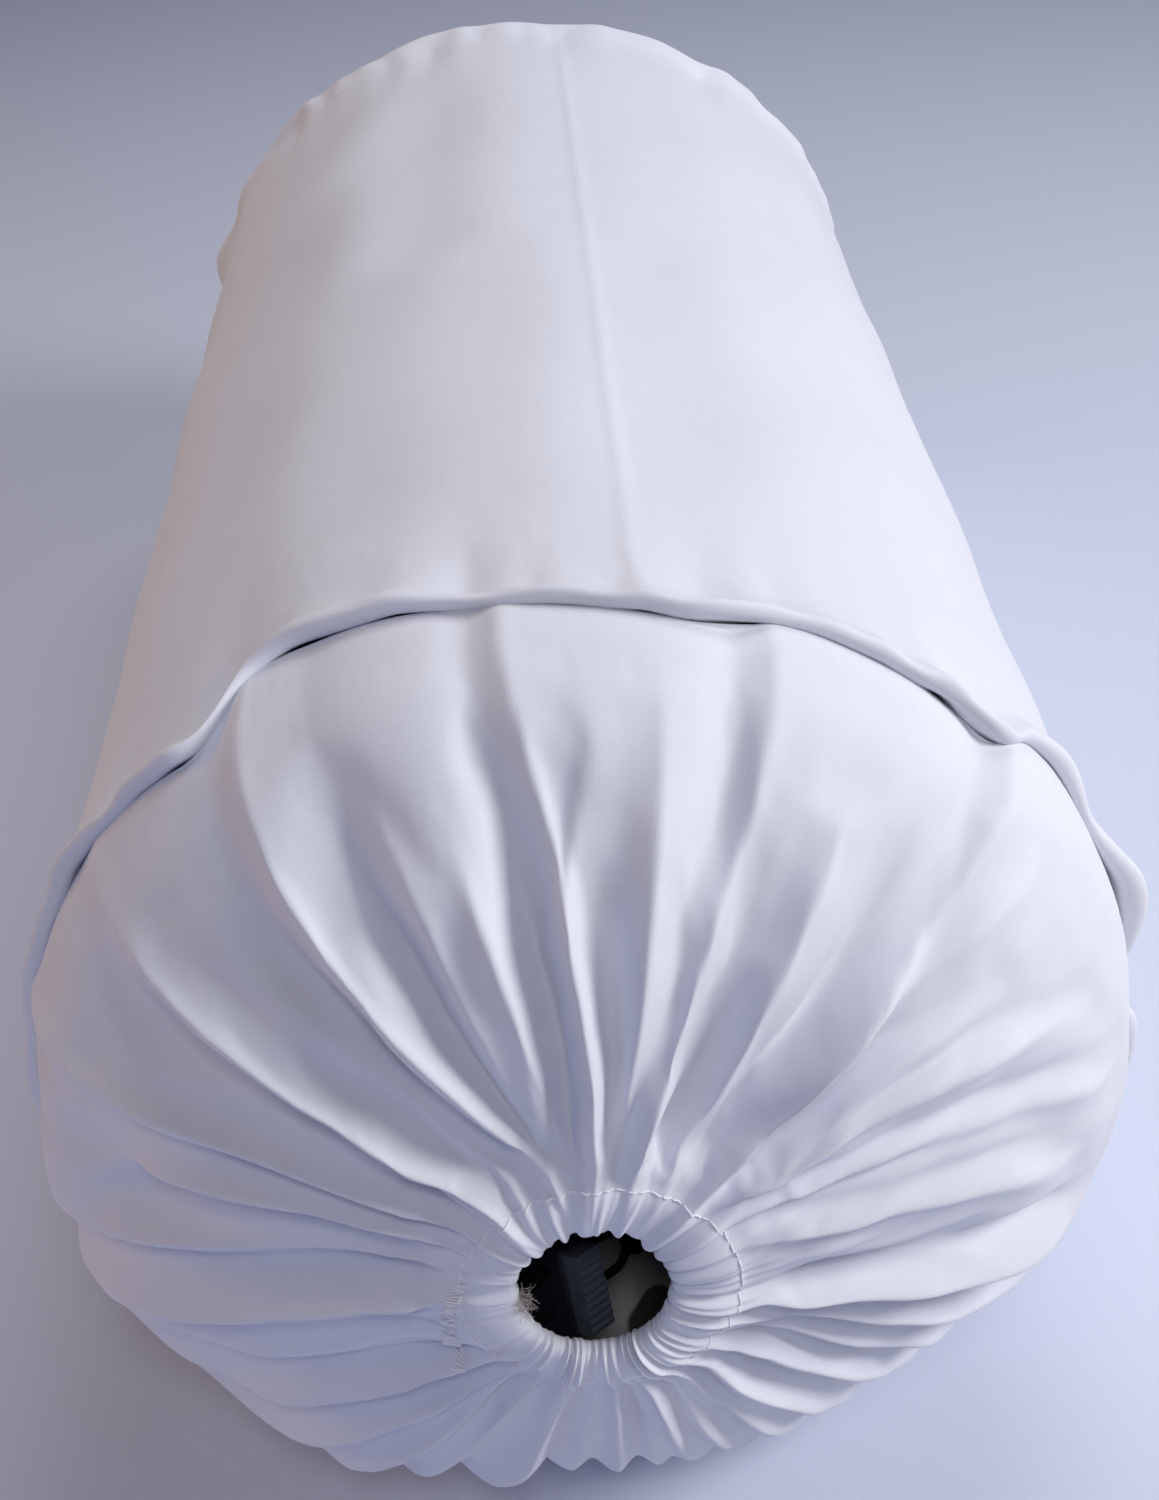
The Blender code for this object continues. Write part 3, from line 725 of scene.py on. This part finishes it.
def case_end_grid():
    """The inner pillow's end, with loose folds in the dimple that the mouth shows."""
    columns = 200
    angle = np.arange(columns) * 2 * math.pi / columns
    shares = np.concatenate([np.linspace(1.0, 0.45, 16), np.linspace(0.42, 0.02, 22)])
    points = [around(angle, -0.2060, -0.0050, floor=0.0040), around(angle, -0.2200, -0.0058, floor=0.0045)]
    for share in shares:
        slack = CASE_DOME_GAP + (INNER_SLACK - CASE_DOME_GAP) * smoothstep(share, 0.10, 0.45)
        y = RIM_Y + dome_depth(share) - slack - dimple_depth(share)
        scale = share * (1 - (1 - CASE_SCALE) * share**3)
        points.append(around(angle, -y, 0.0, scale * 0.965, floor=0.0045))
    base = np.stack(points)
    x, z = base[..., 0], base[..., 2] - AXIS_Z
    slant = x * 0.83 + z * 0.55
    cross = -x * 0.55 + z * 0.83
    folds = np.abs((slant * 48 + 0.25 * np.sin(cross * 70)) % 1.0 - 0.5) * 2
    creases = np.abs((slant * 26 - cross * 34 + 0.3) % 1.0 - 0.5) * 2
    radius = np.hypot(x, z) / HALF_WIDTH
    loose = np.exp(-((radius / LOOSE_SHARE) ** 6))
    inward = grid_normals(base)
    base = base + inward * ((CASE_FOLD * folds + CASE_CREASE * creases) * loose)[..., None]
    waves = turning_noise(angle[None, :], radius * 3, 31, 5, 24)
    base[..., 1] += 0.0006 * (waves + 1.2) * (1 - loose) * smoothstep(1 - radius, 0.0, 0.1)
    u = np.broadcast_to(angle * HALF_WIDTH, base.shape[:2])
    v = np.broadcast_to(np.linspace(0, 0.19, len(base))[:, None], base.shape[:2])
    return base, np.stack([u, v], axis=-1)


def case_tube_grid():
    """The inner case's tube, between its two end seams."""
    columns = 160
    angle = np.arange(columns) * 2 * math.pi / columns
    stations = np.linspace(-0.2100, 0.2100, 40)
    points = []
    for y in stations:
        near = smoothstep(abs(y), 0.195, 0.212)
        rise = -0.0046 - 0.0002 * (1 + turning_noise(angle, y * 9, 41, 4, 14)) * (1 - near)
        points.append(around(angle, y, rise, floor=0.0030))
    base = np.stack(points)
    u = np.broadcast_to(angle * HALF_WIDTH, base.shape[:2])
    v = np.broadcast_to(stations[:, None], base.shape[:2])
    return base, np.stack([u, v], axis=-1)


def filling_grid():
    """One closed lump of fibre, a little lumpy, inside the case."""
    columns = 128
    angle = np.arange(columns) * 2 * math.pi / columns
    shares = np.concatenate([[0.02], np.linspace(0.06, 1.0, 18)])
    front = []
    for share in shares:
        hollow = FILLING_HOLLOW * math.exp(-((share / FILLING_HOLLOW_SHARE) ** 4))
        slack = FILLING_DOME_GAP + 1.2 * INNER_SLACK + hollow
        y = RIM_Y + dome_depth(share) - slack - dimple_depth(share)
        front.append((-y, 0.94 * share * (1 - (1 - FILLING_SCALE) * share**3), 0.0))
    middle = [(y, 1.0, -0.0085) for y in np.linspace(-0.204, 0.204, 24)]
    back = [(-y, scale, rise) for y, scale, rise in front[::-1]]
    points = []
    for y, scale, rise in front + middle + back:
        lump = -0.0008 * (1 + turning_noise(angle, y * 11, 51, 2, 9)) * min(scale, 1.0) ** 2
        points.append(around(angle, y, rise + lump, scale, floor=0.0048))
    base = np.stack(points)
    u = np.broadcast_to(angle * HALF_WIDTH, base.shape[:2])
    v = np.broadcast_to(np.linspace(0, 0.8, len(base))[:, None], base.shape[:2])
    return base, np.stack([u, v], axis=-1)


# ---------------------------------------------------------------- threads


def surface_point(grid, angle, row):
    """A point on a settled grid at an angle index and a row, both fractional, with its normal."""
    points, normals = grid
    columns = points.shape[1]
    i, j = int(math.floor(row)), int(math.floor(angle))
    a, b = row - i, angle - j
    total, normal = np.zeros(3), np.zeros(3)
    for di, wi in ((0, 1 - a), (1, a)):
        for dj, wj in ((0, 1 - b), (1, b)):
            at = (min(i + di, len(points) - 1), (j + dj) % columns)
            total += wi * wj * points[at]
            normal += wi * wj * normals[at]
    return Vector(total), Vector(normal).normalized()


def thread_object(name, runs, radius, material):
    """Short threads, each a polyline, as one mesh of thin tubes with round ends."""
    curve = bpy.data.curves.new(name, "CURVE")
    curve.dimensions = "3D"
    curve.bevel_depth = radius
    curve.bevel_resolution = 2
    curve.use_fill_caps = True
    for run in runs:
        spline = curve.splines.new("POLY")
        spline.points.add(len(run) - 1)
        for target, point in zip(spline.points, run):
            target.co = (*point, 1.0)
    guide = bpy.data.objects.new(f"{name}_guide", curve)
    bpy.context.scene.collection.objects.link(guide)
    graph = bpy.context.evaluated_depsgraph_get()
    data = bpy.data.meshes.new_from_object(guide.evaluated_get(graph))
    bpy.data.objects.remove(guide, do_unlink=True)
    data.name = name
    obj = bpy.data.objects.new(name, data)
    bpy.context.scene.collection.objects.link(obj)
    data.materials.clear()
    data.materials.append(material)
    data.shade_smooth()
    return obj


def casing_stitches(grid, shares):
    """One row of short stitches around the mouth, along the casing's outer edge."""
    row = float(np.interp(-CASING_STITCH_SHARE, -shares, np.arange(len(shares))))
    length = 2 * math.pi * CASING_STITCH_SHARE * HALF_WIDTH
    count = int(length / STITCH_PITCH)
    rng = np.random.default_rng(61)
    runs = []
    for i in range(count):
        start = i / count * COLUMNS
        span = STITCH_LENGTH / STITCH_PITCH / count * COLUMNS
        run = []
        for t in np.linspace(0, 1, 5):
            place, normal = surface_point(grid, start + t * span, row + rng.uniform(-0.08, 0.08))
            run.append(place + normal * (THREAD_RADIUS * (1.1 * math.sin(math.pi * t) - 0.1)))
        runs.append(run)
    return runs


def bar_tack_runs(grid, shares):
    """The zigzag that closes the casing's hem, from just left of the mouth downwards."""
    rng = np.random.default_rng(62)
    runs = []
    for i in range(TACK_COUNT):
        t = i / (TACK_COUNT - 1)
        angle = math.radians(TACK_START_ANGLE + TACK_SWEEP * t)
        share = TACK_START_SHARE + TACK_SPREAD * t
        run = []
        for side in (-1, 1):
            x = share * HALF_WIDTH * math.cos(angle) + side * TACK_HALF_WIDTH + rng.uniform(-0.0006, 0.0006)
            z = share * HALF_WIDTH * math.sin(angle) + side * rng.uniform(0.0, 0.0008)
            turned = math.atan2(z, x) % (2 * math.pi)
            row = float(np.interp(-math.hypot(x, z) / HALF_WIDTH, -shares, np.arange(len(shares))))
            place, normal = surface_point(grid, turned / (2 * math.pi) * COLUMNS, row)
            run.append(place + normal * THREAD_RADIUS * rng.uniform(0.8, 3.0))
        runs.append(run)
    return runs


def frayed_runs():
    """Loose thread ends at the left of the mouth, where the casing's hem stops short."""
    rng = np.random.default_rng(63)
    runs = []
    for _ in range(FRAYED_COUNT):
        start = FRAYED_PLACE + Vector(rng.uniform(-1, 1, 3)) * 0.0020
        step = Vector((rng.uniform(-0.2, 0.8), rng.uniform(-0.9, 0.1), rng.uniform(-0.9, 0.7))).normalized()
        curl = Vector(rng.uniform(-1, 1, 3)) * 0.9
        run = [start]
        for _ in range(int(rng.integers(5, 10))):
            step = (step + curl * 0.35).normalized()
            run.append(run[-1] + step * 0.00042)
        runs.append(run)
    return runs


# ---------------------------------------------------------------- materials


def new_material(name, colour, roughness, metallic=0.0):
    material = bpy.data.materials.new(name)
    material.use_nodes = True
    shader = material.node_tree.nodes["Principled BSDF"]
    shader.inputs["Base Color"].default_value = (*colour, 1.0)
    shader.inputs["Roughness"].default_value = roughness
    shader.inputs["Metallic"].default_value = metallic
    return material, material.node_tree.nodes, material.node_tree.links, shader


def mix_colours(nodes, links, factor, first, second):
    mix = nodes.new("ShaderNodeMix")
    mix.data_type = "RGBA"
    mix.inputs["A"].default_value = (*first, 1.0)
    mix.inputs["B"].default_value = (*second, 1.0)
    links.new(factor, mix.inputs["Factor"])
    return mix.outputs["Result"]


def scaled(nodes, links, coordinates, scale):
    mapping = nodes.new("ShaderNodeMapping")
    mapping.inputs["Scale"].default_value = scale
    links.new(coordinates, mapping.inputs["Vector"])
    return mapping.outputs["Vector"]


def noise(nodes, links, vector, detail=3.0, scale=1.0):
    texture = nodes.new("ShaderNodeTexNoise")
    texture.inputs["Scale"].default_value = scale
    texture.inputs["Detail"].default_value = detail
    links.new(vector, texture.inputs["Vector"])
    return texture.outputs["Fac"]


def math_node(nodes, links, operation, a, b):
    node = nodes.new("ShaderNodeMath")
    node.operation = operation
    for socket, value in zip(node.inputs, (a, b)):
        if isinstance(value, (int, float)):
            socket.default_value = value
        else:
            links.new(value, socket)
    return node.outputs[0]


def add_bump(nodes, links, shader, height, strength, distance):
    bump = nodes.new("ShaderNodeBump")
    bump.inputs["Strength"].default_value = strength
    bump.inputs["Distance"].default_value = distance
    links.new(height, bump.inputs["Height"])
    links.new(bump.outputs["Normal"], shader.inputs["Normal"])


def vary_gloss(nodes, links, shader, factor, low, high):
    gloss = nodes.new("ShaderNodeMapRange")
    gloss.inputs["To Min"].default_value = low
    gloss.inputs["To Max"].default_value = high
    links.new(factor, gloss.inputs["Value"])
    links.new(gloss.outputs["Result"], shader.inputs["Roughness"])


def cotton(name, colour, shade_share, pitch=0.00034):
    """Plain-weave cotton: warp and weft threads, slubs and faint mottling, in the cloth's own coordinates."""
    material, nodes, links, shader = new_material(name, colour, 0.86)
    shade = tuple(value * shade_share for value in colour)
    cloth = nodes.new("ShaderNodeUVMap").outputs["UV"]
    threads = []
    for direction in ("X", "Y"):
        wave = nodes.new("ShaderNodeTexWave")
        wave.bands_direction = direction
        wave.inputs["Scale"].default_value = math.pi / (10 * pitch)
        wave.inputs["Distortion"].default_value = 0.6
        wave.inputs["Detail"].default_value = 1.0
        wave.inputs["Detail Scale"].default_value = 0.4
        links.new(cloth, wave.inputs["Vector"])
        threads.append(wave.outputs["Fac"])
    weave = math_node(nodes, links, "MULTIPLY", threads[0], threads[1])
    warp = noise(nodes, links, scaled(nodes, links, cloth, (1300.0, 70.0, 1.0)))
    weft = noise(nodes, links, scaled(nodes, links, cloth, (70.0, 1300.0, 1.0)))
    slubs = math_node(nodes, links, "ADD", warp, weft)
    height = math_node(nodes, links, "ADD", weave, slubs)
    add_bump(nodes, links, shader, height, 0.22, 0.00010)
    mottle = noise(nodes, links, scaled(nodes, links, cloth, (60.0, 60.0, 1.0)), detail=5.0)
    tone = math_node(nodes, links, "MULTIPLY", math_node(nodes, links, "ADD", slubs, mottle), 0.40)
    links.new(mix_colours(nodes, links, tone, shade, colour), shader.inputs["Base Color"])
    shader.inputs["Sheen Weight"].default_value = 0.18
    shader.inputs["Sheen Roughness"].default_value = 0.5
    shader.inputs["Specular IOR Level"].default_value = 0.25
    return material


def paint_hollow_shade(material, place, radius, colour):
    """Paints shade into the cloth in one rounded hollow: a dark brown patch there stands for the shade
    between the folds.
    """
    nodes, links = material.node_tree.nodes, material.node_tree.links
    shader = nodes["Principled BSDF"]
    distance = nodes.new("ShaderNodeVectorMath")
    distance.operation = "DISTANCE"
    distance.inputs[1].default_value = place
    links.new(nodes.new("ShaderNodeTexCoord").outputs["Object"], distance.inputs[0])
    inside = nodes.new("ShaderNodeMapRange")
    inside.inputs["From Min"].default_value = radius * 0.92
    inside.inputs["From Max"].default_value = radius
    links.new(distance.outputs["Value"], inside.inputs["Value"])
    mixed = mix_colours(nodes, links, inside.outputs["Result"], colour, colour)
    links.new(shader.inputs["Base Color"].links[0].from_socket, mixed.node.inputs["B"])
    links.new(mixed, shader.inputs["Base Color"])
    return material


def thread_material(name, colour):
    """Twisted thread, a little fuzzy."""
    material, nodes, links, shader = new_material(name, colour, 0.75)
    texture = nodes.new("ShaderNodeTexCoord").outputs["Object"]
    fibres = noise(nodes, links, scaled(nodes, links, texture, (6000.0, 6000.0, 6000.0)))
    add_bump(nodes, links, shader, fibres, 0.4, 0.00005)
    shader.inputs["Sheen Weight"].default_value = 0.2
    return material


def plastic(name, colour, roughness):
    """Moulded black plastic with a fine grain and a little uneven gloss."""
    material, nodes, links, shader = new_material(name, colour, roughness)
    place = nodes.new("ShaderNodeTexCoord").outputs["Object"]
    grain = noise(nodes, links, scaled(nodes, links, place, (3800.0, 3800.0, 3800.0)))
    wear = noise(nodes, links, scaled(nodes, links, place, (240.0, 240.0, 240.0)), detail=5.0)
    vary_gloss(nodes, links, shader, wear, roughness - 0.08, roughness + 0.14)
    add_bump(nodes, links, shader, grain, 0.25, 0.00006)
    worn = tuple(value * 1.8 for value in colour)
    links.new(mix_colours(nodes, links, wear, colour, worn), shader.inputs["Base Color"])
    return material


def braided_cord(name):
    """Black elastic cord with the small cells of its braid."""
    material, nodes, links, shader = new_material(name, CORD_COLOUR, 0.75)
    place = nodes.new("ShaderNodeTexCoord").outputs["Object"]
    cells = nodes.new("ShaderNodeTexVoronoi")
    cells.inputs["Scale"].default_value = 1800.0
    links.new(place, cells.inputs["Vector"])
    add_bump(nodes, links, shader, cells.outputs["Distance"], 0.5, 0.00015)
    shader.inputs["Specular IOR Level"].default_value = 0.15
    return material


def spring_steel(name):
    """Drawn wire, scratched along its length."""
    material, nodes, links, shader = new_material(name, STEEL_COLOUR, 0.28, metallic=1.0)
    place = nodes.new("ShaderNodeTexCoord").outputs["Object"]
    scratches = noise(nodes, links, scaled(nodes, links, place, (900.0, 900.0, 5000.0)))
    vary_gloss(nodes, links, shader, scratches, 0.2, 0.42)
    return material


def fibre(name):
    """Loose white filling."""
    material, nodes, links, shader = new_material(name, FIBRE_COLOUR, 0.95)
    place = nodes.new("ShaderNodeTexCoord").outputs["Object"]
    strands = noise(nodes, links, scaled(nodes, links, place, (420.0, 420.0, 420.0)), detail=8.0)
    add_bump(nodes, links, shader, strands, 0.8, 0.002)
    shader.inputs["Sheen Weight"].default_value = 0.5
    return material


def floor_material():
    material, nodes, links, shader = new_material("floor_paint", FLOOR_COLOUR, 0.7)
    place = nodes.new("ShaderNodeTexCoord").outputs["Object"]
    mottle = noise(nodes, links, scaled(nodes, links, place, (3.0, 3.0, 3.0)), detail=4.0)
    tone = tuple(value * 0.985 for value in FLOOR_COLOUR)
    links.new(mix_colours(nodes, links, mottle, tone, FLOOR_COLOUR), shader.inputs["Base Color"])
    return material


# ---------------------------------------------------------------- stage


def add_camera():
    data = bpy.data.cameras.new("camera")
    data.lens = CAMERA_LENS
    data.sensor_width = 36.0
    data.clip_start, data.clip_end = 0.01, 50.0
    camera = bpy.data.objects.new("camera", data)
    bpy.context.scene.collection.objects.link(camera)
    forward = Vector(
        (
            math.sin(CAMERA_YAW) * math.cos(CAMERA_PITCH),
            math.cos(CAMERA_YAW) * math.cos(CAMERA_PITCH),
            -math.sin(CAMERA_PITCH),
        )
    )
    level = Vector((math.cos(CAMERA_YAW), -math.sin(CAMERA_YAW), 0.0))
    upright = level.cross(forward)
    right = math.cos(CAMERA_ROLL) * level + math.sin(CAMERA_ROLL) * upright
    up = -math.sin(CAMERA_ROLL) * level + math.cos(CAMERA_ROLL) * upright
    axes = Matrix((right, up, -forward)).transposed().to_4x4()
    camera.matrix_world = Matrix.Translation(CAMERA_PLACE) @ axes
    bpy.context.scene.camera = camera


def area_light(name, place, target, size, energy, colour):
    data = bpy.data.lights.new(name, "AREA")
    data.shape = "DISK"
    data.size = size
    data.energy = energy
    data.color = colour
    light = bpy.data.objects.new(name, data)
    bpy.context.scene.collection.objects.link(light)
    light.location = place
    direction = Vector(target) - Vector(place)
    light.rotation_euler = direction.to_track_quat("-Z", "Y").to_euler()


def add_floor_and_light():
    bpy.ops.mesh.primitive_plane_add(size=FLOOR_SIZE, location=(0, 0, 0))
    floor = bpy.context.active_object
    floor.name = "floor"
    floor.data.materials.append(floor_material())
    world = bpy.data.worlds.new("studio")
    bpy.context.scene.world = world
    world.use_nodes = True
    background = world.node_tree.nodes["Background"]
    background.inputs["Color"].default_value = (*SKY_COLOUR, 1.0)
    background.inputs["Strength"].default_value = SKY_STRENGTH
    for light in LIGHTS:
        area_light(*light)
    bpy.context.scene.view_settings.view_transform = "Standard"
    bpy.context.scene.view_settings.look = "None"


# ---------------------------------------------------------------- assembly


def turned_copy(obj, name):
    """The same settled piece at the rear end."""
    copy = bpy.data.objects.new(name, obj.data.copy())
    copy.data.name = name
    bpy.context.scene.collection.objects.link(copy)
    copy.data.transform(Matrix.Rotation(math.pi, 4, "Z"))
    return copy


def grid_of(obj, shape):
    """The settled grid's points and its outward normals."""
    place = np.empty(len(obj.data.vertices) * 3)
    obj.data.vertices.foreach_get("co", place)
    points = place.reshape(*shape[:2], 3)
    return points, -grid_normals(points)


def paint_cad_nodes(nodes):
    """New materials for the CAD parts that stay in view."""
    finishes = {
        "lock_housing": plastic("lock_housing_plastic", HOUSING_COLOUR, 0.42),
        # the button's lighter colour is a painted highlight on its ribs
        "lock_button": plastic("lock_button_plastic_painted_highlight", BUTTON_PAINTED_HIGHLIGHT_COLOUR, 0.32),
        "lock_spring": spring_steel("lock_spring_steel"),
        "drawstring": braided_cord("drawstring_cord"),
    }
    for end in ("front", "rear"):
        for part, material in finishes.items():
            node = nodes[f"{end}_{part}"]
            node.data.materials.clear()
            node.data.materials.append(material)


def make_cover(white):
    """The end panels and the body as laid out, then settled together."""
    panels = {}
    for end, shift_share in SHIFT_SHARES.items():
        panel_points, panel_uv = panel_grid(shift_share)
        panels[end] = grid_mesh(f"cover_{end}_end_panel", panel_points, panel_uv, white, flip=True)
    body_points, body_uv = body_grid()
    body = grid_mesh("cover_body_panel", body_points, body_uv, white)
    hold = np.full(body_points.shape[:2], BODY_HOLD)
    hold[:WELT_ROWS] = 1.0
    hold[-WELT_ROWS:] = 1.0
    clothes = [(panel, panel_hold(len(panel_points)), PANEL_GROWTH) for panel in panels.values()]
    settle([*clothes, (body, hold, BODY_GROWTH)])
    smooth_surface(body)
    return body, panels, panel_points.shape


def sew_casing(end, panel, panel_shape, white, thread, frayed):
    """The casing's strip, stitches, bar tack and loose ends, on a settled end panel."""
    grid = grid_of(panel, panel_shape)
    shares = np.minimum.accumulate(np.abs(grid[0][:, 0, 0]) / HALF_WIDTH)
    points, uv = casing_grid()
    casing = smooth_surface(grid_mesh(f"{end}_casing_strip", points, uv, white, flip=True))
    stitches = casing_stitches(grid, shares)
    threads = [
        thread_object(f"{end}_casing_stitches", stitches, THREAD_RADIUS, thread),
        thread_object(f"{end}_bar_tack", bar_tack_runs(grid, shares), THREAD_RADIUS, thread),
        thread_object(f"{end}_frayed_threads", frayed_runs(), FRAYED_RADIUS, frayed),
    ]
    smooth_surface(panel)
    if end == "rear":
        for obj in (panel, casing, *threads):
            obj.data.transform(Matrix.Rotation(math.pi, 4, "Z"))
    return casing, threads


def make_inner_pillow():
    """The case and filling, hidden but for what the mouth shows."""
    grey = cotton("case_cotton", CASE_COLOUR, CASE_SHADE)
    # the front end's cloth carries a painted shade patch, dark brown, in the hollow low in the mouth
    case_end_painted_shade = cotton("case_end_cotton_painted_shade", CASE_COLOUR, CASE_SHADE)
    paint_hollow_shade(case_end_painted_shade, PAINTED_SHADE_PLACE, PAINTED_SHADE_RADIUS, PAINTED_SHADE_COLOUR)
    points, uv = case_end_grid()
    front = grid_mesh("inner_case_front_end", points, uv, case_end_painted_shade, flip=True)
    rear = turned_copy(front, "inner_case_rear_end")
    points, uv = case_tube_grid()
    tube = grid_mesh("inner_case_tube", points, uv, grey)
    for obj in (front, rear, tube):
        smooth_surface(obj)
    points, uv = filling_grid()
    filling = grid_mesh("fibre_filling", points, uv, fibre("filling_fibre"))
    return front, rear, tube, filling


def attach(obj, node=None):
    """Rides on the pillow, and stands for a CAD node if one is named."""
    if node:
        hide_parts(node)
    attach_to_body(obj, "pillow")


def main():
    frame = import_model()

    white = cotton("cover_cotton", COTTON_COLOUR, COTTON_SHADE)
    thread = thread_material("sewing_thread", THREAD_COLOUR)
    frayed = thread_material("loose_thread", FRAYED_COLOUR)
    body, panels, panel_shape = make_cover(white)
    attach(body, "cover_body")
    casings = {}
    for end, panel in panels.items():
        casings[end], threads = sew_casing(end, panel, panel_shape, white, thread, frayed)
        attach(panel, f"cover_{end}_end")
        attach(casings[end], f"{end}_casing")
        for obj in threads:
            attach(obj)

    case_front, case_rear, tube, filling = make_inner_pillow()
    attach(case_front, "case_front_end")
    attach(case_rear, "case_rear_end")
    attach(tube, "case_tube")
    attach(filling, "filling")

    paint_cad_nodes(frame["nodes"])
    add_camera()
    add_floor_and_light()


main()
